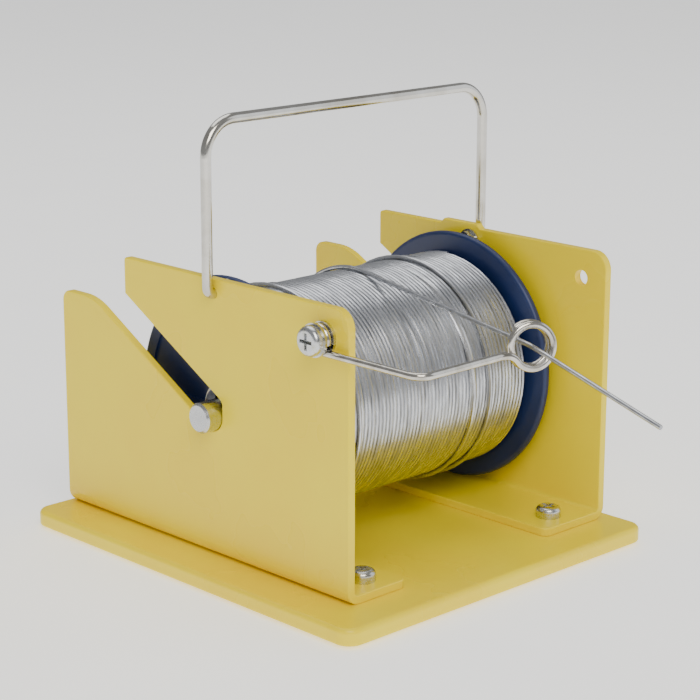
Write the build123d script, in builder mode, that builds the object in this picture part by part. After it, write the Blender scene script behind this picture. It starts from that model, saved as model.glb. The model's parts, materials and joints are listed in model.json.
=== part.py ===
from build123d import *
import os
from math import acos, atan, atan2, cos, hypot, pi, radians, sin, sqrt, tan

# Benchtop solder reel stand: a steel base with two upright brackets that carry a reel on a rod,
# a folding carry handle, and a wire guide with an eyelet that the solder is drawn through.
# Millimetres. +Z is up, -Y is the front where the solder comes out, +X is to the right.
# The origin is the centre of the face that rests on the bench.

# ---------------------------------------------------------------- driving dimensions

BASE_WIDTH = 112.0
BASE_DEPTH = 126.0
BASE_THICK = 4.5
BASE_CORNER = 4.5
BASE_EDGE = 1.3
MAT_THICK = 0.8
MAT_INSET = 4.0

SHEET = 2.3
SHEET_EDGE = 0.35
BEND_INNER = 1.2
LEFT_OUTER = -45.0
RIGHT_OUTER = 52.0
FRONT_Y = -51.5
REAR_Y = 61.0
TOP_Z = 79.4
TOP_CORNER = 5.0
MOUTH_Y = 33.5
LOBE_TOP = 66.2
LOBE_CORNER = 3.0
LOBE_BLEND = 18.0
LUG_WIDTH = 15.0
LUG_Y = 1.5
LUG_RISE = 1.2
LEFT_FOOT_WIDTH = 20.5
RIGHT_FOOT_WIDTH = 24.0
FOOT_CORNER = 2.5
FOOT_SCREW_EDGE = 9.0
FOOT_SCREW_INSET = 7.0

AXLE_Y = -1.1
AXLE_Z = 43.4
AXLE_RADIUS = 4.0
AXLE_LEFT = -49.5
AXLE_RIGHT = 55.0
AXLE_CHAMFER = 0.6
SLOT_ANGLE = 29.5
SLOT_WIDTH = 9.8
RUNNING_GAP = 0.05

REEL_LEFT = -39.2
REEL_RIGHT = 46.2
FLANGE_RADIUS = 35.2
FLANGE_THICK = 2.4
FLANGE_RECESS = 0.6
CORE_RADIUS = 15.0
CORE_WALL = 2.0
HUB_OUTER = 8.5
HUB_LENGTH = 14.0
RIB_WIDTH = 1.6
RIB_COUNT = 8
WINDING_RADIUS = 30.0
WINDING_END_GAP = 0.2

BUSH_RADIUS = 6.0
BUSH_FLANGE_RADIUS = 8.0
BUSH_FLANGE_THICK = 1.2
CLIP_RADIUS = 6.8
CLIP_THICK = 0.9
CLIP_GAP = 0.2
GROOVE_RADIUS = 3.4

HANDLE_WIRE = 1.4
HANDLE_Y = -2.5
HANDLE_Z = 75.6
HANDLE_TOP = 119.0
HANDLE_BEND = 9.0
HANDLE_END_BEND = 1.6
HANDLE_SIDE_GAP = 0.4
HANDLE_WASHER_GAP = 0.2
HANDLE_WASHER_THICK = 0.5
HANDLE_WASHER_RADIUS = 3.5
HANDLE_NUT_THICK = 2.0
HANDLE_NUT_FLATS = 5.5

SCREW_RADIUS = 2.0
SCREW_CLEARANCE = 0.15
GUIDE_HEAD = (3.8, 2.5)
FOOT_HEAD = (3.4, 2.1)
HEAD_ROUND = 1.3
RECESS_ACROSS = 4.2
RECESS_BAR = 0.9
RECESS_DEPTH = 1.4
LOCK_WASHER_RADIUS = 3.4
LOCK_WASHER_THICK = 0.9
LOCK_WASHER_SPLIT = 0.7
SCREW_END_MARGIN = 0.5

GUIDE_WIRE = 0.95
GUIDE_Y = -43.0
GUIDE_Z = 71.5
GUIDE_EYE = 3.05
GUIDE_REACH_Y = -76.7
GUIDE_BEND = 3.5
GUIDE_WASHER_RADIUS = 4.2
GUIDE_WASHER_THICK = 0.75
GUIDE_PLAY = 0.1
GUIDE_NUT_THICK = 3.2
GUIDE_NUT_FLATS = 7.0
EYELET_X = -11.3
EYELET_RISE = 1.6
EYELET_RADIUS = 5.2
EYELET_PITCH = 2.05
EYELET_TURNS = 1.75
EYELET_SWING = 24.0
EYELET_LEAD = 3.5
SWING_RUN = 1.2

STRAND_RADIUS = 0.6
STRAND_LEAVES_X = 6.0
STRAND_TIP = (-13.0, -119.0, 59.0)
STRAND_BEND = 60.0

# ---------------------------------------------------------------- worked-out places

BASE_TOP = MAT_THICK + BASE_THICK
FOOT_TOP = BASE_TOP + SHEET
SLOPE = radians(SLOT_ANGLE)
SLOT_RADIUS = AXLE_RADIUS + RUNNING_GAP

AXLE_AXIS = Axis((0, AXLE_Y, AXLE_Z), (1, 0, 0))
AXLE_PLANE = Plane(origin=(0, AXLE_Y, AXLE_Z), x_dir=(1, 0, 0), z_dir=(0, -1, 0))

SIDES = ((LEFT_OUTER, 1), (RIGHT_OUTER, -1))
FEET = ((LEFT_OUTER + LEFT_FOOT_WIDTH, 1), (RIGHT_OUTER - RIGHT_FOOT_WIDTH, -1))
FOOT_SCREW_YS = (FRONT_Y + FOOT_SCREW_INSET, REAR_Y - FOOT_SCREW_INSET)
FOOT_SCREW_XYS = [(edge - inward * FOOT_SCREW_EDGE, y) for edge, inward in FEET for y in FOOT_SCREW_YS]

LEG_OFFSET = HANDLE_SIDE_GAP + HANDLE_WIRE
HANDLE_LEFT_X = LEFT_OUTER - LEG_OFFSET
HANDLE_RIGHT_X = RIGHT_OUTER + LEG_OFFSET
HANDLE_END_REACH = SHEET + HANDLE_WASHER_GAP + HANDLE_WASHER_THICK + HANDLE_NUT_THICK + 0.1

GUIDE_INNER_WASHER_X = LEFT_OUTER - GUIDE_WASHER_THICK
GUIDE_WIRE_X = GUIDE_INNER_WASHER_X - GUIDE_PLAY - GUIDE_WIRE
GUIDE_OUTER_WASHER_X = GUIDE_WIRE_X - GUIDE_WIRE - GUIDE_PLAY - GUIDE_WASHER_THICK
GUIDE_ARM_Z = GUIDE_Z - GUIDE_EYE

# the eyelet is a coil whose first turn is in front; its plane is swung a little to the left about the
# upright, and an arc that bends the wire down runs into it without a kink
SWING = radians(EYELET_SWING)
EYELET_ACROSS = Vector(cos(SWING), -sin(SWING), 0)
EYELET_BACK = Vector(sin(SWING), cos(SWING), 0)
EYELET_UP = Vector(0, 0, 1)
LEAD_DROP = EYELET_LEAD + EYELET_RISE
LEAD_BEFORE = sqrt((EYELET_RADIUS + EYELET_LEAD) ** 2 - LEAD_DROP ** 2)
LEAD_TURN = atan2(LEAD_BEFORE, LEAD_DROP)
EYELET_Z = GUIDE_ARM_Z + EYELET_RISE
EYELET_FRONT = Vector(EYELET_X, GUIDE_REACH_Y - LEAD_BEFORE * sin(SWING), EYELET_Z)
LEAD_START = EYELET_FRONT - EYELET_ACROSS * LEAD_BEFORE - EYELET_UP * EYELET_RISE
LEAD_CENTRE = LEAD_START - EYELET_UP * EYELET_LEAD
LEAD_OUTWARD = EYELET_ACROSS * sin(LEAD_TURN) + EYELET_UP * cos(LEAD_TURN)
LEAD_HALFWAY = EYELET_ACROSS * sin(LEAD_TURN / 2) + EYELET_UP * cos(LEAD_TURN / 2)
LEAD_MIDDLE = LEAD_CENTRE + LEAD_HALFWAY * EYELET_LEAD
LEAD_END = LEAD_CENTRE + LEAD_OUTWARD * EYELET_LEAD
LEAD_HEADING = EYELET_ACROSS * cos(LEAD_TURN) - EYELET_UP * sin(LEAD_TURN)
COIL_CLIMB = atan(EYELET_PITCH / (2 * pi * EYELET_RADIUS))
COIL_AXIS = EYELET_BACK * cos(COIL_CLIMB) + LEAD_HEADING * sin(COIL_CLIMB)
EYELET_MIDDLE = EYELET_FRONT + COIL_AXIS * (EYELET_PITCH * EYELET_TURNS / 2)

# the solder leaves the top of the winding on the tangent that passes through the eyelet's centre
LINE_RADIUS = WINDING_RADIUS + STRAND_RADIUS + RUNNING_GAP
STRAND_EYE = (EYELET_MIDDLE.X, EYELET_MIDDLE.Y, EYELET_MIDDLE.Z)
TO_EYELET = hypot(STRAND_EYE[1] - AXLE_Y, STRAND_EYE[2] - AXLE_Z)
LEAVING = atan2(STRAND_EYE[2] - AXLE_Z, STRAND_EYE[1] - AXLE_Y) - acos(LINE_RADIUS / TO_EYELET)
STRAND_START = (STRAND_LEAVES_X, AXLE_Y + LINE_RADIUS * cos(LEAVING), AXLE_Z + LINE_RADIUS * sin(LEAVING))
JOIN_SHARE = (GUIDE_Y - STRAND_START[1]) / (STRAND_EYE[1] - STRAND_START[1])
STRAND_JOIN = tuple(a + JOIN_SHARE * (b - a) for a, b in zip(STRAND_START, STRAND_EYE))


# ---------------------------------------------------------------- repeated shapes

def make_bracket(outer_x, inward, foot_x, has_lug):
    """One upright: a bent sheet with a foot, an open slot for the rod and holes for handle and guide."""
    inner_x = outer_x + inward * SHEET
    foot_width = abs(foot_x - outer_x)
    low_x = min(outer_x, inner_x)
    wall_y = AXLE_Y - SLOT_RADIUS
    seat_y = AXLE_Y + SLOT_RADIUS * sin(SLOPE)
    seat_z = AXLE_Z - SLOT_RADIUS * cos(SLOPE)
    rise = SLOT_WIDTH / cos(SLOPE)
    upper_corner = (wall_y, seat_z + rise + (wall_y - seat_y) * tan(SLOPE))
    mouth_corner = (MOUTH_Y, seat_z + rise + (MOUTH_Y - seat_y) * tan(SLOPE))
    lobe_corner = (seat_y + (LOBE_TOP - seat_z) / tan(SLOPE), LOBE_TOP)
    slot_bottom = (AXLE_Y - SLOT_RADIUS * sin(radians(30)), AXLE_Z - SLOT_RADIUS * cos(radians(30)))
    lug_low = LUG_Y - LUG_WIDTH / 2
    lug_high = LUG_Y + LUG_WIDTH / 2
    top_line = [(FRONT_Y, BASE_TOP), (FRONT_Y, TOP_Z)]
    if has_lug:
        top_line += [(lug_low, TOP_Z), (lug_low + LUG_RISE, TOP_Z + LUG_RISE)]
        top_line += [(lug_high - LUG_RISE, TOP_Z + LUG_RISE), (lug_high, TOP_Z)]
    top_line += [(MOUTH_Y, TOP_Z), mouth_corner, upper_corner, (wall_y, AXLE_Z)]

    with BuildPart() as bracket:
        with BuildSketch(Plane.XZ.offset(-REAR_Y)) as section:
            with BuildLine():
                Polyline(
                    (outer_x, BASE_TOP),
                    (outer_x, TOP_Z + LUG_RISE),
                    (inner_x, TOP_Z + LUG_RISE),
                    (inner_x, FOOT_TOP),
                    (foot_x, FOOT_TOP),
                    (foot_x, BASE_TOP),
                    close=True,
                )
            make_face()
            inner_bend = section.vertices().sort_by_distance((inner_x, FOOT_TOP, 0))[0]
            fillet(inner_bend, BEND_INNER)
            outer_bend = section.vertices().sort_by_distance((outer_x, BASE_TOP, 0))[0]
            fillet(outer_bend, BEND_INNER + SHEET)
        extrude(amount=REAR_Y - FRONT_Y)
        upright = bracket.edges().filter_by(Axis.Z)
        foot_corners = upright.filter_by_position(Axis.X, foot_x - 0.1, foot_x + 0.1)
        fillet(foot_corners, FOOT_CORNER)

        with BuildSketch(Plane.YZ.offset(min(outer_x, foot_x))) as outline:
            with BuildLine():
                Polyline(*top_line)
                ThreePointArc((wall_y, AXLE_Z), slot_bottom, (seat_y, seat_z))
                Polyline((seat_y, seat_z), lobe_corner, (REAR_Y, LOBE_TOP))
                Polyline((REAR_Y, LOBE_TOP), (REAR_Y, BASE_TOP), (FRONT_Y, BASE_TOP))
            make_face()
            for corner, radius in (
                ((FRONT_Y, TOP_Z), TOP_CORNER),
                ((MOUTH_Y, TOP_Z), 1.0),
                (upper_corner, 2.0),
                (lobe_corner, LOBE_BLEND),
                ((REAR_Y, LOBE_TOP), LOBE_CORNER),
            ):
                fillet(outline.vertices().sort_by_distance((*corner, 0))[0], radius)
        extrude(amount=foot_width, mode=Mode.INTERSECT)
        side_faces = bracket.faces().filter_by(Axis.X)
        upright_faces = side_faces.filter_by(lambda face: face.area > foot_width ** 2)
        above_bend = FOOT_TOP + BEND_INNER + 1
        upright_edges = upright_faces.edges().filter_by(lambda edge: edge.center().Z > above_bend)
        fillet(upright_edges, SHEET_EDGE)

        with BuildSketch(Plane.YZ.offset(low_x)):
            with Locations((HANDLE_Y, HANDLE_Z)):
                Circle(HANDLE_WIRE + RUNNING_GAP)
            with Locations((GUIDE_Y, GUIDE_Z)):
                Circle(SCREW_RADIUS + SCREW_CLEARANCE)
        extrude(amount=SHEET, mode=Mode.SUBTRACT)
        with BuildSketch(Plane.XY.offset(BASE_TOP)):
            with Locations(*[(foot_x - inward * FOOT_SCREW_EDGE, y) for y in FOOT_SCREW_YS]):
                Circle(SCREW_RADIUS + SCREW_CLEARANCE)
        extrude(amount=SHEET, mode=Mode.SUBTRACT)
    return bracket


def make_pan_screw(head_radius, head_height, length):
    """A cross-recess pan-head screw that points down, with its head seated on the XY plane."""
    with BuildPart() as screw:
        with BuildSketch():
            Circle(head_radius)
        extrude(amount=head_height)
        fillet(screw.edges().group_by(Axis.Z)[-1], HEAD_ROUND)
        with BuildSketch(Plane.XY.offset(head_height)):
            Rectangle(RECESS_ACROSS, RECESS_BAR)
            Rectangle(RECESS_BAR, RECESS_ACROSS)
        extrude(amount=-RECESS_DEPTH, taper=12, mode=Mode.SUBTRACT)
        with BuildSketch():
            Circle(SCREW_RADIUS)
        extrude(amount=-length)
        chamfer(screw.edges().group_by(Axis.Z)[0], 0.5)
    return screw


def make_hex_nut(flats, thick, bore_radius):
    """A hexagon nut that stands on the XY plane, with its corners turned off at both ends."""
    with BuildPart() as nut:
        with BuildSketch():
            RegularPolygon(flats / 2, 6, major_radius=False)
        extrude(amount=thick)
        with BuildSketch():
            Circle(flats / 2 * 1.1)
        extrude(amount=thick, mode=Mode.INTERSECT)
        with BuildSketch():
            Circle(bore_radius)
        extrude(amount=thick, mode=Mode.SUBTRACT)
    return nut


def make_split_washer(outer_radius, bore_radius, thick):
    """A spring lock washer that lies on the XY plane, with its slanted split."""
    with BuildPart() as washer:
        with BuildSketch():
            Circle(outer_radius)
            Circle(bore_radius, mode=Mode.SUBTRACT)
        extrude(amount=thick)
        with BuildSketch(Plane.XZ.offset(-outer_radius - 1)):
            with BuildLine():
                Polyline(
                    (-LOCK_WASHER_SPLIT, -0.1),
                    (0, -0.1),
                    (LOCK_WASHER_SPLIT, thick + 0.1),
                    (0, thick + 0.1),
                    close=True,
                )
            make_face()
        extrude(amount=outer_radius, mode=Mode.SUBTRACT)
    return washer


def make_reel_bush(flange_face_x, inward):
    """A flanged nylon bush pressed into one end of the reel's hub."""
    flange_x = flange_face_x - inward * BUSH_FLANGE_THICK
    barrel_end_x = flange_face_x + inward * (HUB_LENGTH - 2)
    bore = AXLE_RADIUS + RUNNING_GAP
    with BuildPart() as bush:
        with BuildSketch(AXLE_PLANE):
            with BuildLine():
                Polyline(
                    (flange_x, bore),
                    (flange_x, BUSH_FLANGE_RADIUS),
                    (flange_face_x, BUSH_FLANGE_RADIUS),
                    (flange_face_x, BUSH_RADIUS),
                    (barrel_end_x, BUSH_RADIUS),
                    (barrel_end_x, bore),
                    close=True,
                )
            make_face()
        revolve(axis=AXLE_AXIS)
    return bush


# ---------------------------------------------------------------- base

with BuildPart() as base_plate:
    with BuildSketch(Plane.XY.offset(MAT_THICK)):
        RectangleRounded(BASE_WIDTH, BASE_DEPTH, BASE_CORNER)
    extrude(amount=BASE_THICK)
    fillet(base_plate.edges().group_by(Axis.Z)[-1], BASE_EDGE)
    fillet(base_plate.edges().group_by(Axis.Z)[0], BASE_EDGE / 2)
    with BuildSketch(Plane.XY.offset(MAT_THICK)):
        with Locations(*FOOT_SCREW_XYS):
            Circle(SCREW_RADIUS + RUNNING_GAP)
    extrude(amount=BASE_THICK, mode=Mode.SUBTRACT)

with BuildPart() as non_slip_mat:
    with BuildSketch():
        RectangleRounded(BASE_WIDTH - 2 * MAT_INSET, BASE_DEPTH - 2 * MAT_INSET, BASE_CORNER)
    extrude(amount=MAT_THICK)

# ---------------------------------------------------------------- brackets and their fasteners

left_bracket = make_bracket(LEFT_OUTER, 1, FEET[0][0], False)
right_bracket = make_bracket(RIGHT_OUTER, -1, FEET[1][0], True)

foot_screw = make_pan_screw(*FOOT_HEAD, LOCK_WASHER_THICK + SHEET + BASE_THICK - SCREW_END_MARGIN)
with BuildPart() as bracket_screws:
    with Locations(*[(x, y, FOOT_TOP + LOCK_WASHER_THICK) for x, y in FOOT_SCREW_XYS]):
        add(foot_screw.part)

foot_washer = make_split_washer(LOCK_WASHER_RADIUS, SCREW_RADIUS + RUNNING_GAP, LOCK_WASHER_THICK)
with BuildPart() as bracket_lock_washers:
    with Locations(*[(x, y, FOOT_TOP) for x, y in FOOT_SCREW_XYS]):
        add(foot_washer.part)

# ---------------------------------------------------------------- carry handle

with BuildPart() as carry_handle:
    with BuildLine() as handle_line:
        FilletPolyline(
            (LEFT_OUTER + HANDLE_END_REACH, HANDLE_Y, HANDLE_Z),
            (HANDLE_LEFT_X, HANDLE_Y, HANDLE_Z),
            (HANDLE_LEFT_X, HANDLE_Y, HANDLE_TOP),
            (HANDLE_RIGHT_X, HANDLE_Y, HANDLE_TOP),
            (HANDLE_RIGHT_X, HANDLE_Y, HANDLE_Z),
            (RIGHT_OUTER - HANDLE_END_REACH, HANDLE_Y, HANDLE_Z),
            radius=[HANDLE_END_BEND, HANDLE_BEND, HANDLE_BEND, HANDLE_END_BEND],
        )
    with BuildSketch(handle_line.line ^ 0):
        Circle(HANDLE_WIRE)
    sweep()

HANDLE_SEATS = [
    Location((outer + inward * (SHEET + HANDLE_WASHER_GAP), HANDLE_Y, HANDLE_Z), (0, inward * 90, 0))
    for outer, inward in SIDES
]
HANDLE_NUT_SEATS = [seat * Location((0, 0, HANDLE_WASHER_THICK)) for seat in HANDLE_SEATS]

with BuildPart() as handle_washers:
    with Locations(*HANDLE_SEATS):
        Cylinder(
            HANDLE_WASHER_RADIUS,
            HANDLE_WASHER_THICK,
            align=(Align.CENTER, Align.CENTER, Align.MIN),
        )
        Cylinder(
            HANDLE_WIRE + RUNNING_GAP,
            HANDLE_WASHER_THICK,
            align=(Align.CENTER, Align.CENTER, Align.MIN),
            mode=Mode.SUBTRACT,
        )

handle_nut = make_hex_nut(HANDLE_NUT_FLATS, HANDLE_NUT_THICK, HANDLE_WIRE + 0.02)
with BuildPart() as handle_nuts:
    with Locations(*HANDLE_NUT_SEATS):
        add(handle_nut.part)

# ---------------------------------------------------------------- axle

with BuildPart() as reel_axle:
    with BuildSketch(Plane.YZ.offset(AXLE_LEFT)):
        with Locations((AXLE_Y, AXLE_Z)):
            Circle(AXLE_RADIUS)
    extrude(amount=AXLE_RIGHT - AXLE_LEFT)
    chamfer(reel_axle.edges().filter_by(GeomType.CIRCLE), AXLE_CHAMFER)
    with BuildSketch(AXLE_PLANE):
        for face_x, inward in ((REEL_LEFT, 1), (REEL_RIGHT, -1)):
            middle_x = face_x - inward * (BUSH_FLANGE_THICK + CLIP_GAP + CLIP_THICK / 2)
            with Locations((middle_x, GROOVE_RADIUS)):
                Rectangle(CLIP_THICK + 0.1, 2, align=(Align.CENTER, Align.MIN))
    revolve(axis=AXLE_AXIS, mode=Mode.SUBTRACT)

with BuildPart() as axle_clips:
    for face_x, inward in ((REEL_LEFT, 1), (REEL_RIGHT, -1)):
        near_x = face_x - inward * (BUSH_FLANGE_THICK + CLIP_GAP)
        with BuildSketch(Plane.YZ.offset(near_x)):
            with Locations((AXLE_Y, AXLE_Z)):
                Circle(CLIP_RADIUS)
                Circle(GROOVE_RADIUS + 0.05, mode=Mode.SUBTRACT)
            with Locations((AXLE_Y, AXLE_Z + CLIP_RADIUS)):
                Rectangle(GROOVE_RADIUS * 1.5, CLIP_RADIUS * 2, mode=Mode.SUBTRACT)
        extrude(amount=-inward * CLIP_THICK)

# ---------------------------------------------------------------- reel

with BuildPart() as reel_spool:
    with BuildSketch(AXLE_PLANE):
        for low_x, high_x, low_r, high_r in (
            (REEL_LEFT, REEL_LEFT + FLANGE_THICK, BUSH_RADIUS, FLANGE_RADIUS),
            (REEL_RIGHT - FLANGE_THICK, REEL_RIGHT, BUSH_RADIUS, FLANGE_RADIUS),
            (REEL_LEFT + 1, REEL_RIGHT - 1, CORE_RADIUS - CORE_WALL, CORE_RADIUS),
            (REEL_LEFT, REEL_LEFT + HUB_LENGTH, BUSH_RADIUS, HUB_OUTER),
            (REEL_RIGHT - HUB_LENGTH, REEL_RIGHT, BUSH_RADIUS, HUB_OUTER),
        ):
            with Locations((low_x, low_r)):
                Rectangle(high_x - low_x, high_r - low_r, align=Align.MIN)
    revolve(axis=AXLE_AXIS)
    circles = reel_spool.edges().filter_by(GeomType.CIRCLE)
    rims = circles.filter_by(lambda rim: rim.radius > FLANGE_RADIUS - 0.1)
    fillet(rims, FLANGE_THICK * 0.45)
    for face_x, inward in ((REEL_LEFT, 1), (REEL_RIGHT, -1)):
        with BuildSketch(Plane.YZ.offset(face_x)):
            with Locations((AXLE_Y, AXLE_Z)):
                Circle(FLANGE_RADIUS - 4)
                Circle(HUB_OUTER + 1.5, mode=Mode.SUBTRACT)
                with PolarLocations(FLANGE_RADIUS / 2, RIB_COUNT):
                    Rectangle(FLANGE_RADIUS, RIB_WIDTH, mode=Mode.SUBTRACT)
        extrude(amount=inward * FLANGE_RECESS, mode=Mode.SUBTRACT)

left_reel_bush = make_reel_bush(REEL_LEFT, 1)
right_reel_bush = make_reel_bush(REEL_RIGHT, -1)

with BuildPart() as solder_winding:
    with BuildSketch(AXLE_PLANE):
        with Locations((REEL_LEFT + FLANGE_THICK + WINDING_END_GAP, CORE_RADIUS)):
            Rectangle(
                REEL_RIGHT - REEL_LEFT - 2 * (FLANGE_THICK + WINDING_END_GAP),
                WINDING_RADIUS - CORE_RADIUS,
                align=Align.MIN,
            )
    revolve(axis=AXLE_AXIS)

# ---------------------------------------------------------------- solder guide

EYE_START = radians(195)
EYE_MIDDLE = radians(52)
SWING_POINT = LEAD_START - EYELET_ACROSS * SWING_RUN
COIL_PLANE = Plane(origin=EYELET_FRONT, x_dir=-LEAD_OUTWARD, z_dir=COIL_AXIS)
COIL = Helix(EYELET_PITCH, EYELET_PITCH * EYELET_TURNS, EYELET_RADIUS, lefthand=True)

with BuildPart() as guide_wire:
    with BuildLine() as guide_line:
        ThreePointArc(
            (GUIDE_WIRE_X, GUIDE_Y + GUIDE_EYE * cos(EYE_START), GUIDE_Z + GUIDE_EYE * sin(EYE_START)),
            (GUIDE_WIRE_X, GUIDE_Y + GUIDE_EYE * cos(EYE_MIDDLE), GUIDE_Z + GUIDE_EYE * sin(EYE_MIDDLE)),
            (GUIDE_WIRE_X, GUIDE_Y, GUIDE_ARM_Z),
        )
        FilletPolyline(
            (GUIDE_WIRE_X, GUIDE_Y, GUIDE_ARM_Z),
            (GUIDE_WIRE_X, GUIDE_REACH_Y, GUIDE_ARM_Z),
            SWING_POINT,
            LEAD_START,
            radius=GUIDE_BEND,
        )
        ThreePointArc(LEAD_START, LEAD_MIDDLE, LEAD_END)
    with BuildSketch(guide_line.line ^ 0):
        Circle(GUIDE_WIRE)
    sweep()
    with BuildLine() as coil_line:
        add(COIL_PLANE * COIL)
    with BuildSketch(coil_line.line ^ 0):
        Circle(GUIDE_WIRE)
    sweep(path=coil_line.line, is_frenet=True)

GUIDE_STACK = GUIDE_OUTER_WASHER_X - LEFT_OUTER
GUIDE_SCREW_LENGTH = SHEET - GUIDE_STACK + LOCK_WASHER_THICK + GUIDE_NUT_THICK + 1
guide_screw_part = make_pan_screw(*GUIDE_HEAD, GUIDE_SCREW_LENGTH)
with BuildPart() as guide_screw:
    with Locations(Location((GUIDE_OUTER_WASHER_X, GUIDE_Y, GUIDE_Z), (0, -90, 0))):
        add(guide_screw_part.part)

with BuildPart() as guide_washers:
    for washer_x in (GUIDE_INNER_WASHER_X, GUIDE_OUTER_WASHER_X):
        with BuildSketch(Plane.YZ.offset(washer_x)):
            with Locations((GUIDE_Y, GUIDE_Z)):
                Circle(GUIDE_WASHER_RADIUS)
                Circle(SCREW_RADIUS + RUNNING_GAP, mode=Mode.SUBTRACT)
        extrude(amount=GUIDE_WASHER_THICK)

with BuildPart() as guide_lock_washer:
    with Locations(Location((LEFT_OUTER + SHEET, GUIDE_Y, GUIDE_Z), (0, 90, 0))):
        add(foot_washer.part)

guide_nut_part = make_hex_nut(GUIDE_NUT_FLATS, GUIDE_NUT_THICK, SCREW_RADIUS + 0.02)
with BuildPart() as guide_nut:
    with Locations(Location((LEFT_OUTER + SHEET + LOCK_WASHER_THICK, GUIDE_Y, GUIDE_Z), (0, 90, 0))):
        add(guide_nut_part.part)

# ---------------------------------------------------------------- solder strand

with BuildPart() as solder_strand_rear:
    with BuildLine() as rear_line:
        Line(STRAND_START, STRAND_JOIN)
    with BuildSketch(rear_line.line ^ 0):
        Circle(STRAND_RADIUS)
    sweep()

with BuildPart() as solder_strand_front:
    with BuildLine() as front_line:
        FilletPolyline(STRAND_JOIN, STRAND_EYE, STRAND_TIP, radius=STRAND_BEND)
    with BuildSketch(front_line.line ^ 0):
        Circle(STRAND_RADIUS)
    sweep()

# ---------------------------------------------------------------- labels and files

os.makedirs("parts", exist_ok=True)

for label, piece in (
    ("base_plate", base_plate),
    ("non_slip_mat", non_slip_mat),
    ("left_bracket", left_bracket),
    ("right_bracket", right_bracket),
    ("bracket_screws", bracket_screws),
    ("bracket_lock_washers", bracket_lock_washers),
    ("carry_handle", carry_handle),
    ("handle_washers", handle_washers),
    ("handle_nuts", handle_nuts),
    ("reel_axle", reel_axle),
    ("axle_clips", axle_clips),
    ("reel_spool", reel_spool),
    ("left_reel_bush", left_reel_bush),
    ("right_reel_bush", right_reel_bush),
    ("solder_winding", solder_winding),
    ("guide_wire", guide_wire),
    ("guide_screw", guide_screw),
    ("guide_washers", guide_washers),
    ("guide_lock_washer", guide_lock_washer),
    ("guide_nut", guide_nut),
    ("solder_strand_rear", solder_strand_rear),
    ("solder_strand_front", solder_strand_front),
):
    piece.part.label = label
    export_step(piece.part, f"parts/{label}.step")
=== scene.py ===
"""A bench stand that holds a reel of solder: looks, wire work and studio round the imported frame.

The pieces' sizes are in millimetres, and MM turns them to Blender's metres. The studio's are in metres.
"""

import json
import logging
import math
from dataclasses import dataclass, field
from enum import Enum

import bpy
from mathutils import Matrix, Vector, noise

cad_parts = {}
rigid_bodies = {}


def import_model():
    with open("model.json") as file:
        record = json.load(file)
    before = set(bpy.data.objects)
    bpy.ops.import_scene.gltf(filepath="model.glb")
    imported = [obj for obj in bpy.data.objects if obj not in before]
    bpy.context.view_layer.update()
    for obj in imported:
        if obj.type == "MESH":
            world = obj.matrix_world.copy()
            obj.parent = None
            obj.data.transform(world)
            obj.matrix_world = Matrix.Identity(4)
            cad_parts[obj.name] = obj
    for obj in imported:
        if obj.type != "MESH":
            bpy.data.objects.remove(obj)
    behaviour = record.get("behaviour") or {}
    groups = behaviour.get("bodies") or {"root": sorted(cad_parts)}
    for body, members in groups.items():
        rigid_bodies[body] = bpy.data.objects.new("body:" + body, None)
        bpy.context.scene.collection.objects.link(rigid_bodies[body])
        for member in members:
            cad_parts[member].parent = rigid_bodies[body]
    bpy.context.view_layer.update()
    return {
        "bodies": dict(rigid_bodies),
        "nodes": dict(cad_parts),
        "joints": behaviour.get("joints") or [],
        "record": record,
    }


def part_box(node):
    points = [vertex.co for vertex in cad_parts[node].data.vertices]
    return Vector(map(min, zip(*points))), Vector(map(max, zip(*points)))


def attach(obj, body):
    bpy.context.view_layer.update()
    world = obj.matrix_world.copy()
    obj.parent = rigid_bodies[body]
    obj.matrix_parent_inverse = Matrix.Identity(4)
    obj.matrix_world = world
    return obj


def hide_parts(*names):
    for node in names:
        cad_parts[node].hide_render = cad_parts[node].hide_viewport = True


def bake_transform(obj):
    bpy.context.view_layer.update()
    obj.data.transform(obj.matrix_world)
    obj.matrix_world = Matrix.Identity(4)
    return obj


LOG = logging.getLogger("solder_stand")
MM = 0.001
TURN = 2 * math.pi

Point = tuple[float, float, float]


class Body(Enum):
    """The record's bodies that new pieces ride on."""

    STAND = "stand"
    AXLE = "axle"
    REEL = "reel"
    GUIDE = "guide"


# ------------------------------------------------------------------ small tools


def linear(hex_colour: str) -> tuple[float, float, float, float]:
    """Turn an sRGB hex colour into linear RGBA.

    Args:
        hex_colour: A colour such as "#F2C500".

    Returns:
        The linear red, green and blue, with an alpha of 1.
    """
    digits = hex_colour.lstrip("#")
    shares = [int(digits[i : i + 2], 16) / 255 for i in (0, 2, 4)]
    red, green, blue = (s / 12.92 if s <= 0.04045 else ((s + 0.055) / 1.055) ** 2.4 for s in shares)
    return (red, green, blue, 1.0)


def per_mm(size: float) -> float:
    """Return the texture scale whose features are about size millimetres across."""
    return 1 / (size * MM)


def add_node(
    tree: bpy.types.NodeTree, kind: str, settings: dict, links: dict | None = None
) -> bpy.types.Node:
    """Add one shader node with its settings and its incoming links.

    Args:
        tree: The material's node tree.
        kind: The node's type, such as "ShaderNodeTexNoise".
        settings: Values by input name or number, or by property name. "stops" fills a colour ramp.
        links: The sockets to link in, by input name or number.

    Returns:
        The new node.
    """
    node = tree.nodes.new(kind)
    for name, value in settings.items():
        if name == "stops":
            ramp = node.color_ramp
            for extra in value[2:]:
                ramp.elements.new(extra[0])
            for element, (place, colour) in zip(ramp.elements, sorted(value, key=lambda stop: stop[0])):
                element.position = place
                element.color = colour
        elif isinstance(name, int) or name in node.inputs:
            node.inputs[name].default_value = value
        else:
            setattr(node, name, value)
    for name, socket in (links or {}).items():
        tree.links.new(socket, node.inputs[name])
    return node


def grey(value: float) -> tuple[float, float, float, float]:
    """Return a grey of that value, for the stops of a ramp that drives roughness or height."""
    return (value, value, value, 1.0)


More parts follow.
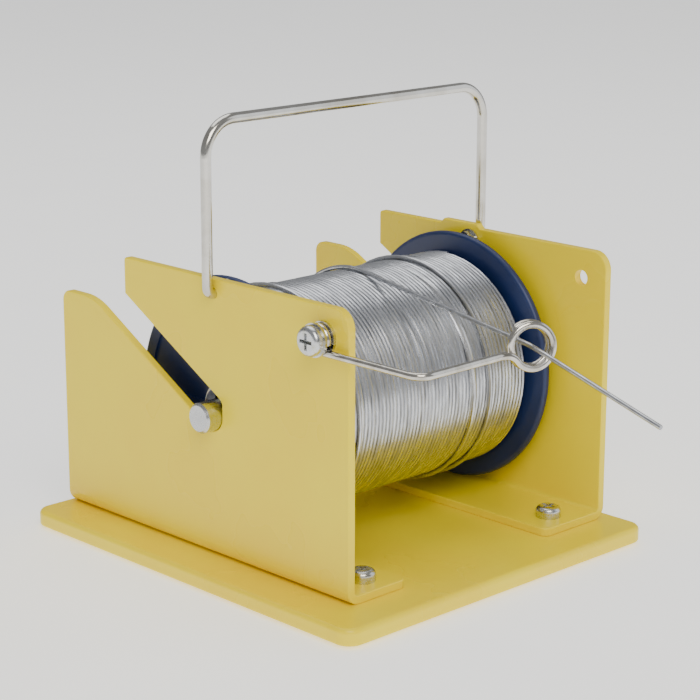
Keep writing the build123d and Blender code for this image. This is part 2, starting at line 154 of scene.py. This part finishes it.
def select_only(piece: bpy.types.Object) -> None:
    """Deselect everything, then select one piece and make it the active one.

    Args:
        piece: The object to select.
    """
    bpy.ops.object.select_all(action="DESELECT")
    piece.select_set(True)
    bpy.context.view_layer.objects.active = piece


def settle(piece: bpy.types.Object, name: str, smooth_below: float = 40.0) -> bpy.types.Object:
    """Name a finished piece, put its place into its mesh and smooth its gentle edges.

    Args:
        piece: The mesh object to finish.
        name: The piece's name.
        smooth_below: Edges that turn by less than this many degrees are shaded smooth.

    Returns:
        The same object, at the origin, unturned and unscaled.
    """
    select_only(piece)
    bpy.ops.object.transform_apply(location=True, rotation=True, scale=True)
    bpy.ops.object.shade_smooth_by_angle(angle=math.radians(smooth_below))
    piece.name = name
    piece.data.name = name
    return piece


def close_ends(piece: bpy.types.Object) -> None:
    """Cap the open ends of a tube and turn all its faces outwards.

    Args:
        piece: The tube's mesh object.
    """
    select_only(piece)
    bpy.ops.object.mode_set(mode="EDIT")
    bpy.ops.mesh.select_all(action="SELECT")
    bpy.ops.mesh.remove_doubles(threshold=1e-6)
    bpy.ops.mesh.select_all(action="DESELECT")
    bpy.ops.mesh.select_non_manifold(extend=False)
    bpy.ops.mesh.fill_holes(sides=0)
    bpy.ops.mesh.select_all(action="SELECT")
    bpy.ops.mesh.normals_make_consistent(inside=False)
    bpy.ops.object.mode_set(mode="OBJECT")


def drawn_wire(name: str, line: list[Point], radius: float, sides: int = 6) -> bpy.types.Object:
    """Draw a round wire along a smooth line and turn it into a closed mesh.

    Args:
        name: The piece's name.
        line: The points of the centreline, in millimetres.
        radius: The wire's radius in millimetres.
        sides: Half the number of flats round the section, less one.

    Returns:
        The finished mesh object.
    """
    bpy.ops.object.select_all(action="DESELECT")
    bpy.ops.curve.primitive_nurbs_path_add(location=(0, 0, 0))
    piece = bpy.context.object
    spline = piece.data.splines[0]
    spline.points.add(len(line) - len(spline.points))
    for point, place in zip(spline.points, line):
        point.co = (place[0] * MM, place[1] * MM, place[2] * MM, 1.0)
    spline.order_u = 3
    spline.use_endpoint_u = True
    spline.resolution_u = 3
    piece.data.bevel_depth = radius * MM
    piece.data.bevel_resolution = sides
    piece.data.use_fill_caps = True
    select_only(piece)
    bpy.ops.object.convert(target="MESH")
    piece = bpy.context.object
    close_ends(piece)
    return settle(piece, name)


def run(start: Point, end: Point, steps: int) -> list[Point]:
    """Return evenly spaced points from start, left out, to end."""
    a, b = Vector(start), Vector(end)
    return [tuple(a.lerp(b, step / steps)) for step in range(1, steps + 1)]


# ------------------------------------------------------------------ finishes


@dataclass(frozen=True)
class Finish:
    """One finish: a name, and the shader that gives the surface its look."""

    name: str

    def dress(self, tree: bpy.types.NodeTree, shader: bpy.types.Node, place: bpy.types.NodeSocket) -> None:
        """Link this finish's patterns into the shader.

        Args:
            tree: The material's node tree.
            shader: Its Principled BSDF.
            place: Object coordinates, in metres.
        """
        raise NotImplementedError

    def build(self) -> bpy.types.Material:
        """Make the material from an empty node tree.

        Returns:
            The material, with this finish's patterns in it.
        """
        material = bpy.data.materials.new(self.name)
        material.use_nodes = True
        tree = material.node_tree
        tree.nodes.clear()
        shader = add_node(tree, "ShaderNodeBsdfPrincipled", {})
        add_node(tree, "ShaderNodeOutputMaterial", {}, {"Surface": shader.outputs["BSDF"]})
        place = add_node(tree, "ShaderNodeTexCoord", {}).outputs["Object"]
        self.dress(tree, shader, place)
        return material


@dataclass(frozen=True)
class StovedEnamel(Finish):
    """Stoved enamel on sheet steel."""

    # gives the eye one strong warm yellow that clouds very slightly, a fine orange peel and a soft gloss

    colour: str = "#FFE700"
    thin_colour: str = "#FCDD00"
    cloud: float = 38.0
    peel: float = 1.5
    peel_strength: float = 0.16
    peel_depth: float = 0.12
    speck: float = 0.5
    speck_strength: float = 0.12
    speck_depth: float = 0.05
    low_rough: float = 0.24
    high_rough: float = 0.36
    ior: float = 1.46

    def dress(self, tree: bpy.types.NodeTree, shader: bpy.types.Node, place: bpy.types.NodeSocket) -> None:
        """Link slow changes of shade, orange peel and fine dust specks into the shader.

        Args:
            tree: The material's node tree.
            shader: Its Principled BSDF.
            place: Object coordinates, in metres.
        """
        cloud = add_node(
            tree,
            "ShaderNodeTexNoise",
            {"Scale": per_mm(self.cloud), "Detail": 3.0, "Roughness": 0.55},
            {"Vector": place},
        )
        shade = add_node(
            tree,
            "ShaderNodeValToRGB",
            {"stops": [(0.3, linear(self.thin_colour)), (0.62, linear(self.colour))]},
            {"Fac": cloud.outputs["Fac"]},
        )
        gloss = add_node(
            tree,
            "ShaderNodeValToRGB",
            {"stops": [(0.25, grey(self.low_rough)), (0.8, grey(self.high_rough))]},
            {"Fac": cloud.outputs["Fac"]},
        )
        # sprayed enamel dries with ripples one to two millimetres apart
        peel = add_node(
            tree,
            "ShaderNodeTexNoise",
            {"Scale": per_mm(self.peel), "Detail": 2.0, "Roughness": 0.4},
            {"Vector": place},
        )
        # dust that settles in wet enamel stands up as specks, half a millimetre across
        speck = add_node(
            tree, "ShaderNodeTexNoise", {"Scale": per_mm(self.speck), "Detail": 1.0}, {"Vector": place}
        )
        specks = add_node(
            tree,
            "ShaderNodeValToRGB",
            {"stops": [(0.7, grey(0.0)), (0.78, grey(1.0))]},
            {"Fac": speck.outputs["Fac"]},
        )
        ripples = add_node(
            tree,
            "ShaderNodeBump",
            {"Strength": self.peel_strength, "Distance": self.peel_depth * MM},
            {"Height": peel.outputs["Fac"]},
        )
        dusty = add_node(
            tree,
            "ShaderNodeBump",
            {"Strength": self.speck_strength, "Distance": self.speck_depth * MM},
            {"Height": specks.outputs["Color"], "Normal": ripples.outputs["Normal"]},
        )
        tree.links.new(shade.outputs["Color"], shader.inputs["Base Color"])
        tree.links.new(gloss.outputs["Color"], shader.inputs["Roughness"])
        tree.links.new(dusty.outputs["Normal"], shader.inputs["Normal"])
        shader.inputs["IOR"].default_value = self.ior


@dataclass(frozen=True)
class PlatedSteel(Finish):
    """Small steel parts, plated with zinc or nickel, ground bright or blued."""

    # gives the eye clean metal whose tint shifts in small patches, with highlights softened by a fine grit

    colour: str = "#D2D4D6"
    tint: str = "#BEBCAF"
    patch: float = 2.6
    grit: float = 0.35
    low_rough: float = 0.16
    high_rough: float = 0.34
    grit_strength: float = 0.1
    grit_depth: float = 0.03
    stretch: Point = (1.0, 1.0, 1.0)

    def dress(self, tree: bpy.types.NodeTree, shader: bpy.types.Node, place: bpy.types.NodeSocket) -> None:
        """Link the plating's patches and its fine grit into the shader.

        Args:
            tree: The material's node tree.
            shader: Its Principled BSDF.
            place: Object coordinates, in metres.
        """
        mapped = add_node(tree, "ShaderNodeMapping", {"Scale": self.stretch}, {"Vector": place})
        patch = add_node(
            tree,
            "ShaderNodeTexNoise",
            {"Scale": per_mm(self.patch), "Detail": 3.0},
            {"Vector": mapped.outputs["Vector"]},
        )
        shade = add_node(
            tree,
            "ShaderNodeValToRGB",
            {"stops": [(0.35, linear(self.tint)), (0.6, linear(self.colour))]},
            {"Fac": patch.outputs["Fac"]},
        )
        grit = add_node(
            tree,
            "ShaderNodeTexNoise",
            {"Scale": per_mm(self.grit), "Detail": 2.0},
            {"Vector": mapped.outputs["Vector"]},
        )
        rough = add_node(
            tree,
            "ShaderNodeValToRGB",
            {"stops": [(0.3, grey(self.low_rough)), (0.7, grey(self.high_rough))]},
            {"Fac": grit.outputs["Fac"]},
        )
        bump = add_node(
            tree,
            "ShaderNodeBump",
            {"Strength": self.grit_strength, "Distance": self.grit_depth * MM},
            {"Height": grit.outputs["Fac"]},
        )
        tree.links.new(shade.outputs["Color"], shader.inputs["Base Color"])
        tree.links.new(rough.outputs["Color"], shader.inputs["Roughness"])
        tree.links.new(bump.outputs["Normal"], shader.inputs["Normal"])
        shader.inputs["Metallic"].default_value = 1.0


@dataclass(frozen=True)
class SolderWire(Finish):
    """Solder: tin alloy drawn to wire."""

    # gives the eye soft pale metal, a little dull, with streaks that make each turn slightly different

    colour: str = "#DADCE0"
    dull: str = "#A9ABB0"
    streak: float = 5.0
    along_reel: Point = (6.0, 0.6, 0.6)
    low_rough: float = 0.22
    high_rough: float = 0.36
    mark: float = 0.325
    mark_strength: float = 0.12
    mark_depth: float = 0.03

    def dress(self, tree: bpy.types.NodeTree, shader: bpy.types.Node, place: bpy.types.NodeSocket) -> None:
        """Link streaks that run round the reel, and fine drawing marks, into the shader.

        Args:
            tree: The material's node tree.
            shader: Its Principled BSDF.
            place: Object coordinates, in metres.
        """
        banded = add_node(tree, "ShaderNodeMapping", {"Scale": self.along_reel}, {"Vector": place})
        streak = add_node(
            tree,
            "ShaderNodeTexNoise",
            {"Scale": per_mm(self.streak), "Detail": 4.0, "Roughness": 0.6},
            {"Vector": banded.outputs["Vector"]},
        )
        shade = add_node(
            tree,
            "ShaderNodeValToRGB",
            {"stops": [(0.32, linear(self.dull)), (0.62, linear(self.colour))]},
            {"Fac": streak.outputs["Fac"]},
        )
        rough = add_node(
            tree,
            "ShaderNodeValToRGB",
            {"stops": [(0.3, grey(self.high_rough)), (0.7, grey(self.low_rough))]},
            {"Fac": streak.outputs["Fac"]},
        )
        marks = add_node(
            tree, "ShaderNodeTexNoise", {"Scale": per_mm(self.mark), "Detail": 1.0}, {"Vector": place}
        )
        bump = add_node(
            tree,
            "ShaderNodeBump",
            {"Strength": self.mark_strength, "Distance": self.mark_depth * MM},
            {"Height": marks.outputs["Fac"]},
        )
        tree.links.new(shade.outputs["Color"], shader.inputs["Base Color"])
        tree.links.new(rough.outputs["Color"], shader.inputs["Roughness"])
        tree.links.new(bump.outputs["Normal"], shader.inputs["Normal"])
        shader.inputs["Metallic"].default_value = 1.0


@dataclass(frozen=True)
class MouldedPlastic(Finish):
    """Injection-moulded plastic from a spark-eroded mould."""

    # gives the eye one colour right through, faint flow marks, a fine even grain and soft wide highlights

    colour: str = "#16264F"
    flow_colour: str = "#1C2F60"
    flow: float = 22.0
    grain: float = 0.5
    grain_strength: float = 0.18
    grain_depth: float = 0.05
    rough: float = 0.38
    rough_swing: float = 0.06
    ior: float = 1.53
    subsurface: float = 0.0
    scatter: float = 2.0

    def dress(self, tree: bpy.types.NodeTree, shader: bpy.types.Node, place: bpy.types.NodeSocket) -> None:
        """Link faint flow marks and the mould's grain into the shader.

        Args:
            tree: The material's node tree.
            shader: Its Principled BSDF.
            place: Object coordinates, in metres.
        """
        flow = add_node(
            tree, "ShaderNodeTexNoise", {"Scale": per_mm(self.flow), "Detail": 3.0}, {"Vector": place}
        )
        shade = add_node(
            tree,
            "ShaderNodeValToRGB",
            {"stops": [(0.35, linear(self.colour)), (0.65, linear(self.flow_colour))]},
            {"Fac": flow.outputs["Fac"]},
        )
        smoothest, roughest = self.rough - self.rough_swing, self.rough + self.rough_swing
        rough = add_node(
            tree,
            "ShaderNodeValToRGB",
            {"stops": [(0.3, grey(smoothest)), (0.7, grey(roughest))]},
            {"Fac": flow.outputs["Fac"]},
        )
        grain = add_node(
            tree, "ShaderNodeTexNoise", {"Scale": per_mm(self.grain), "Detail": 2.0}, {"Vector": place}
        )
        bump = add_node(
            tree,
            "ShaderNodeBump",
            {"Strength": self.grain_strength, "Distance": self.grain_depth * MM},
            {"Height": grain.outputs["Fac"]},
        )
        tree.links.new(shade.outputs["Color"], shader.inputs["Base Color"])
        tree.links.new(rough.outputs["Color"], shader.inputs["Roughness"])
        tree.links.new(bump.outputs["Normal"], shader.inputs["Normal"])
        shader.inputs["IOR"].default_value = self.ior
        shader.inputs["Subsurface Weight"].default_value = self.subsurface
        shader.inputs["Subsurface Scale"].default_value = self.scatter * MM


@dataclass(frozen=True)
class RubberSheet(Finish):
    """Calendered black rubber sheet."""

    # gives the eye a dark matt edge with a small pebble in it, so that the base has a shadow line

    colour: str = "#1B1B1C"
    worn_colour: str = "#2A2A2B"
    pebble: float = 0.9
    pebble_strength: float = 0.5
    pebble_depth: float = 0.1
    rough: float = 0.85

    def dress(self, tree: bpy.types.NodeTree, shader: bpy.types.Node, place: bpy.types.NodeSocket) -> None:
        """Link the pebbled surface into the shader.

        Args:
            tree: The material's node tree.
            shader: Its Principled BSDF.
            place: Object coordinates, in metres.
        """
        pebble = add_node(
            tree, "ShaderNodeTexVoronoi", {"Scale": per_mm(self.pebble)}, {"Vector": place}
        )
        shade = add_node(
            tree,
            "ShaderNodeValToRGB",
            {"stops": [(0.0, linear(self.worn_colour)), (0.7, linear(self.colour))]},
            {"Fac": pebble.outputs["Distance"]},
        )
        bump = add_node(
            tree,
            "ShaderNodeBump",
            {"Strength": self.pebble_strength, "Distance": self.pebble_depth * MM},
            {"Height": pebble.outputs["Distance"]},
        )
        tree.links.new(shade.outputs["Color"], shader.inputs["Base Color"])
        tree.links.new(bump.outputs["Normal"], shader.inputs["Normal"])
        shader.inputs["Roughness"].default_value = self.rough


@dataclass(frozen=True)
class PalePaper(Finish):
    """Plain background paper, glowing a little so that it stays pale under soft lamps."""

    # gives the eye a pale, even, matt ground with nothing on it

    colour: str = "#F1F1F0"
    mottle_colour: str = "#EEEEED"
    mottle: float = 60.0
    rough: float = 0.9
    glow: float = 0.85

    def dress(self, tree: bpy.types.NodeTree, shader: bpy.types.Node, place: bpy.types.NodeSocket) -> None:
        """Link a barely visible mottle into the shader.

        Args:
            tree: The material's node tree.
            shader: Its Principled BSDF.
            place: Object coordinates, in metres.
        """
        mottle = add_node(
            tree, "ShaderNodeTexNoise", {"Scale": per_mm(self.mottle), "Detail": 2.0}, {"Vector": place}
        )
        shade = add_node(
            tree,
            "ShaderNodeValToRGB",
            {"stops": [(0.3, linear(self.mottle_colour)), (0.7, linear(self.colour))]},
            {"Fac": mottle.outputs["Fac"]},
        )
        tree.links.new(shade.outputs["Color"], shader.inputs["Base Color"])
        shader.inputs["Roughness"].default_value = self.rough
        shader.inputs["Emission Color"].default_value = linear(self.colour)
        shader.inputs["Emission Strength"].default_value = self.glow


def dress_nodes(frame: dict, finish: Finish, nodes: tuple[str, ...]) -> bpy.types.Material:
    """Give CAD nodes a finish in place of their plain material.

    Args:
        finish: The finish to build.
        nodes: The names of the CAD nodes.

    Returns:
        The material, so that new pieces can share it.
    """
    material = finish.build()
    for name in nodes:
        slots = frame["nodes"][name].data.materials
        slots.clear()
        slots.append(material)
        LOG.info("%s dressed in %s", name, finish.name)
    return material


# ------------------------------------------------------------------ sub-assemblies


@dataclass
class Stand:
    """The base, its mat, the two brackets and everything bolted to them."""

    enamel: StovedEnamel = StovedEnamel("stoved_yellow_enamel")
    # zinc plate gives small bright heads and washers, a little patchy and warm
    zinc: PlatedSteel = PlatedSteel("bright_zinc_plate")
    rubber: RubberSheet = RubberSheet("calendered_rubber")

    def build(self, frame: dict) -> None:
        """Dress the fixed CAD nodes.
        """
        dress_nodes(frame, self.enamel, ("base_plate", "left_bracket", "right_bracket"))
        dress_nodes(frame, self.rubber, ("non_slip_mat",))
        fasteners = ("bracket_screws", "bracket_lock_washers", "guide_screw", "guide_washers")
        hidden = ("guide_lock_washer", "guide_nut", "handle_washers", "handle_nuts")
        dress_nodes(frame, self.zinc, fasteners + hidden)


@dataclass
class CarryHandle:
    """The wire bail that folds down over the brackets."""

    # nickel plate on drawn wire gives one long clean highlight with a slightly warm tint
    nickel: PlatedSteel = PlatedSteel(
        "nickel_plated_handle_wire",
        colour="#D9D7D1",
        tint="#C4C0B6",
        patch=9.0,
        low_rough=0.1,
        high_rough=0.2,
    )

    def build(self, frame: dict) -> None:
        """Dress the handle.
        """
        dress_nodes(frame, self.nickel, ("carry_handle",))


@dataclass
class Reel:
    """The reel on its rod, with the solder wound on it turn by turn."""

    wire_radius: float = 0.6
    pitch: float = 1.3
    steps: int = 54
    sides: int = 8
    wander: float = 0.16
    quick_wander: float = 0.5
    lift_share: float = 0.25
    end_gap: float = 0.1
    under_drop: float = 0.9
    over_rise: float = 1.17
    crossing_pitch: float = 6.5
    tuck_share: float = 0.3
    tuck_depth: float = 1.56
    crossings: tuple[tuple[float, int], ...] = ((-30.0, 2), (19.0, 2))
    centre: Vector = field(default_factory=Vector)
    radius: float = 0.0
    solder: SolderWire = SolderWire("drawn_tin_alloy_wire")
    # a ground bar gives a soft grey sheen, drawn out round the rod
    steel: PlatedSteel = PlatedSteel(
        "ground_steel_bar",
        colour="#C8C9CB",
        tint="#BEBFC0",
        patch=3.0,
        low_rough=0.2,
        stretch=(6.0, 1.0, 1.0),
    )
    # bluing gives dark clips that set off the pale bush
    clip_steel: PlatedSteel = PlatedSteel("blued_spring_steel", colour="#4A4B52", tint="#33343A")
    plastic: MouldedPlastic = MouldedPlastic("moulded_polystyrene")
    # natural nylon gives a milky off-white that lets a little light in
    nylon: MouldedPlastic = MouldedPlastic(
        "natural_nylon", colour="#E6E2D6", flow_colour="#EFEBDF", rough=0.45, subsurface=0.15
    )

    def layer(self, name: str, radius: float, low: float, turns: int, pitch: float) -> bpy.types.Object:
        """Wind one layer of solder as a helix about the rod.

        Args:
            name: The piece's name.
            radius: From the rod's centreline to the wire's, in millimetres.
            low: Where the layer starts along the rod, in millimetres.
            turns: How many full turns it has.
            pitch: From one turn to the next, in millimetres.

        Returns:
            The tube as an open mesh, with its object on the rod's centreline.
        """
        origin = (low * MM, self.centre.y, self.centre.z)
        bpy.ops.object.select_all(action="DESELECT")
        bpy.ops.mesh.primitive_circle_add(vertices=self.sides, radius=self.wire_radius * MM, location=origin)
        piece = bpy.context.object
        bpy.ops.object.mode_set(mode="EDIT")
        bpy.ops.mesh.select_all(action="SELECT")
        bpy.ops.transform.rotate(value=math.pi / 2, orient_axis="X", center_override=origin)
        bpy.ops.transform.translate(value=(0, 0, radius * MM))
        bpy.ops.object.mode_set(mode="OBJECT")
        screw = piece.modifiers.new("wind", "SCREW")
        screw.axis = "X"
        screw.angle = TURN
        screw.screw_offset = pitch * MM
        screw.iterations = turns
        screw.steps = self.steps
        screw.render_steps = self.steps
        select_only(piece)
        bpy.ops.object.modifier_apply(modifier=screw.name)
        return settle(piece, name)

    def loosen(self, piece: bpy.types.Object, amount: float, seed: float) -> None:
        """Let the turns wander a little, as wire laid by a machine does.

        Args:
            piece: The wound layer, at the origin.
            amount: The most that a turn moves along the rod, in millimetres.
            seed: Where in the noise this layer is taken from.
        """
        for vertex in piece.data.vertices:
            spot = vertex.co - self.centre
            around = math.atan2(spot.y, spot.z)
            where = Vector((spot.x / MM * 0.9, 2.2 * math.cos(around), 2.2 * math.sin(around) + seed))
            slow = Vector((spot.x / MM * 0.11, math.cos(around), math.sin(around) + seed))
            vertex.co.x += amount * MM * (noise.noise(where) * self.quick_wander + noise.noise(slow))
            rise = noise.noise(where + Vector((7, 3, 1)))
            lift = 1 + amount * self.lift_share * MM * rise / (self.radius * MM)
            vertex.co.y = self.centre.y + spot.y * lift
            vertex.co.z = self.centre.z + spot.z * lift

    def tuck_ends(self, piece: bpy.types.Object, low: float, high: float, tail: float, depth: float) -> None:
        """Bend both ends of a crossing turn down into the layer under it.

        Args:
            piece: The crossing turns, at the origin.
            low: Where they start along the rod, in millimetres.
            high: Where they end.
            tail: How long each sinking end is, in millimetres along the rod.
            depth: How far the ends sink, in millimetres.
        """
        for vertex in piece.data.vertices:
            along = vertex.co.x / MM
            near = min(along - low, high - along)
            sink = max(0.0, 1 - near / tail) ** 2 * depth * MM
            spot = vertex.co - self.centre
            spot.x = 0
            vertex.co -= spot.normalized() * sink

    def build(self, frame: dict) -> None:
        """Wind the solder and dress the reel, its bushes, clips and rod.
        """
        low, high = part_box("solder_winding")
        self.centre = Vector((0, (low.y + high.y) / 2, (low.z + high.z) / 2))
        self.radius = (high.z - low.z) / 2 / MM
        material = self.solder.build()
        start = low.x / MM + self.wire_radius + self.end_gap
        turns = int(((high.x - low.x) / MM - 2 * self.wire_radius - 2 * self.end_gap) / self.pitch)
        outer_radius = self.radius - self.wire_radius
        wound = self.layer("wound_solder", outer_radius, start, turns, self.pitch)
        self.loosen(wound, self.wander, 0.0)
        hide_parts("solder_winding")
        under = self.layer("solder_under_layer", outer_radius - self.under_drop, start, turns, self.pitch)
        pieces = [wound, under]
        over_radius = outer_radius + self.over_rise
        for number, (begin, count) in enumerate(self.crossings, start=1):
            name = f"crossing_turns_{number}"
            crossing = self.layer(name, over_radius, begin, count, self.crossing_pitch)
            end = begin + count * self.crossing_pitch
            self.tuck_ends(crossing, begin, end, self.crossing_pitch * self.tuck_share, self.tuck_depth)
            pieces.append(crossing)
        for piece in pieces:
            close_ends(piece)
            settle(piece, piece.name)
            piece.data.materials.append(material)
            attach(piece, Body.REEL.value)
            LOG.info("%s wound with %d faces", piece.name, len(piece.data.polygons))
        dress_nodes(frame, self.steel, ("reel_axle",))
        dress_nodes(frame, self.clip_steel, ("axle_clips",))
        dress_nodes(frame, self.plastic, ("reel_spool",))
        dress_nodes(frame, self.nylon, ("left_reel_bush", "right_reel_bush"))


@dataclass
class WireGuide:
    """The bent wire that leads the solder forward: an eye, an arm, an inward run and an eyelet."""

    # nickel plate on tight bends gives short sharp highlights, and a little more wear than on the handle
    nickel: PlatedSteel = PlatedSteel(
        "nickel_plated_guide_wire",
        colour="#D6D3CC",
        tint="#BBB6AA",
        patch=4.0,
        low_rough=0.12,
        high_rough=0.24,
    )

    def build(self, frame: dict) -> None:
        """Dress the guide wire.
        """
        dress_nodes(frame, self.nickel, ("guide_wire",))


@dataclass
class SolderStrand:
    """The solder between the winding and its free end, in two stretches that meet over the guide's pivot."""

    radius: float = 0.6
    sides: int = 4
    wrap: float = 150.0
    wrap_steps: int = 30
    dive: float = 1.6
    dive_share: float = 1 / 3
    drift: float = 9.0
    drift_power: float = 1.5
    eyelet_margin: float = 0.12
    eyelet: Point = (-10.51, -77.96, 69.96)
    bend_share: float = 0.6
    solder: SolderWire = SolderWire("drawn_tin_alloy_strand", streak=3.0)

    def build(self, frame: dict) -> None:
        """Draw both stretches.
        """
        material = self.solder.build()
        rear_low, rear_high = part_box("solder_strand_rear")
        front_low, front_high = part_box("solder_strand_front")
        wind_low, wind_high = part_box("solder_winding")
        inset = Vector((self.radius, 0, self.radius))
        spool = Vector((0, (wind_low.y + wind_high.y) / 2, (wind_low.z + wind_high.z) / 2)) / MM
        join = Vector((rear_low.x, front_high.y, rear_low.z)) / MM + inset
        leave = rear_high / MM - inset
        tip = front_low / MM + inset
        LOG.info("strand: leaves %s, joins %s, ends %s, reel centre %s", leave, join, tip, spool)
        self.build_rear(material, spool, leave, join)
        self.build_front(material, join, tip)

    def build_rear(self, material: bpy.types.Material, spool: Vector, leave: Vector, join: Vector) -> None:
        """Draw the wrap on the winding and the run to the pivot.

        Args:
            material: The strand's material.
            spool: The reel's centre, in millimetres.
            leave: Where the strand leaves the winding.
            join: Where it meets the front stretch.
        """
        reach = math.hypot(leave.y - spool.y, leave.z - spool.z)
        angle = math.atan2(leave.z - spool.z, leave.y - spool.y)
        line = []
        for step in range(self.wrap_steps + 1):
            share = step / self.wrap_steps
            turned = angle - math.radians(self.wrap) * (1 - share)
            sunk = reach - self.dive * max(0.0, 1 - share / self.dive_share) ** 2
            along = leave.x + self.drift * (1 - share) ** self.drift_power
            line.append((along, spool.y + sunk * math.cos(turned), spool.z + sunk * math.sin(turned)))
        line += run(line[-1], tuple(join), 10)
        piece = drawn_wire("solder_strand_from_reel", line, self.radius, self.sides)
        piece.data.materials.append(material)
        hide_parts("solder_strand_rear")
        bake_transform(piece)
        LOG.info("rear strand drawn with %d faces", len(piece.data.polygons))

    def build_front(self, material: bpy.types.Material, join: Vector, tip: Vector) -> None:
        """Draw the run through the eyelet to the free end.

        Args:
            material: The strand's material.
            join: Where it meets the rear stretch, in millimetres.
            tip: Its free end.
        """
        eyelet = Vector(self.eyelet)
        before = eyelet.lerp(join, self.eyelet_margin)
        after = eyelet.lerp(tip, self.eyelet_margin)
        line = [tuple(join)] + run(tuple(join), tuple(before), 8)
        line += [tuple(eyelet)] + run(tuple(after), tuple(tip), 6)
        piece = drawn_wire("solder_strand_to_tip", line, self.radius, self.sides)
        piece.data.materials.append(material)
        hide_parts("solder_strand_front")
        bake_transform(piece)
        LOG.info("front strand drawn with %d faces", len(piece.data.polygons))


# ------------------------------------------------------------------ studio


@dataclass
class Lamp:
    """One soft rectangular lamp that points at the object."""

    name: str
    place: Point
    size: float
    power: float
    colour: str

    def build(self, target: Vector) -> None:
        """Hang the lamp.

        Args:
            target: The point that it faces.
        """
        light = bpy.data.lights.new(self.name, "AREA")
        light.shape = "SQUARE"
        light.size = self.size
        light.energy = self.power
        light.color = linear(self.colour)[:3]
        lamp = bpy.data.objects.new(self.name, light)
        lamp.location = self.place
        lamp.rotation_euler = (target - lamp.location).to_track_quat("-Z", "Y").to_euler()
        bpy.context.scene.collection.objects.link(lamp)


@dataclass
class Studio:
    """A pale sweep of paper, three soft lamps and the camera."""

    azimuth: float = -43.7
    elevation: float = 14.8
    distance: float = 0.568
    aim: Point = (0.0, 0.0, 0.05)
    lens: float = 108.6
    shift: tuple[float, float] = (0.02, 0.012)
    sensor: float = 36.0
    floor_size: float = 6.0
    sky: str = "#F6F7F9"
    sky_strength: float = 0.32
    paper: PalePaper = PalePaper("pale_paper")
    lamps: tuple[Lamp, ...] = (
        Lamp("key", (-0.55, -0.75, 0.85), 0.7, 9.0, "#FFFAF2"),
        Lamp("fill", (0.9, -0.6, 0.5), 0.9, 2.5, "#F4F8FF"),
        Lamp("top", (0.1, 0.35, 1.1), 0.9, 4.5, "#FFFFFF"),
    )

    def build(self) -> None:
        """Lay the floor, hang the lamps, light the world and set the camera."""
        bpy.ops.object.select_all(action="DESELECT")
        bpy.ops.mesh.primitive_plane_add(size=self.floor_size, location=(0, 0, 0))
        floor = settle(bpy.context.object, "floor")
        floor.data.materials.append(self.paper.build())
        for lamp in self.lamps:
            lamp.build(Vector(self.aim))
        world = bpy.data.worlds.new("soft_room")
        world.use_nodes = True
        sky = world.node_tree.nodes["Background"]
        sky.inputs["Color"].default_value = linear(self.sky)
        sky.inputs["Strength"].default_value = self.sky_strength
        bpy.context.scene.world = world
        self.build_camera()

    def build_camera(self) -> None:
        """Set the camera at the viewing angle, with a small shift and no depth of field."""
        around, up = math.radians(self.azimuth), math.radians(self.elevation)
        back = Vector((math.sin(around) * math.cos(up), -math.cos(around) * math.cos(up), math.sin(up)))
        data = bpy.data.cameras.new("camera")
        data.sensor_width = self.sensor
        data.lens = self.lens
        data.shift_x, data.shift_y = self.shift
        camera = bpy.data.objects.new("camera", data)
        camera.location = Vector(self.aim) + back * self.distance
        camera.rotation_euler = (-back).to_track_quat("-Z", "Y").to_euler()
        bpy.context.scene.collection.objects.link(camera)
        bpy.context.scene.camera = camera


def main() -> None:
    """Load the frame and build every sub-assembly in order."""
    logging.basicConfig(level=logging.INFO, format="%(name)s: %(message)s")
    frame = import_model()
    Studio().build()
    Stand().build(frame)
    CarryHandle().build(frame)
    Reel().build(frame)
    WireGuide().build(frame)
    SolderStrand().build(frame)


if __name__ == "__main__":
    main()
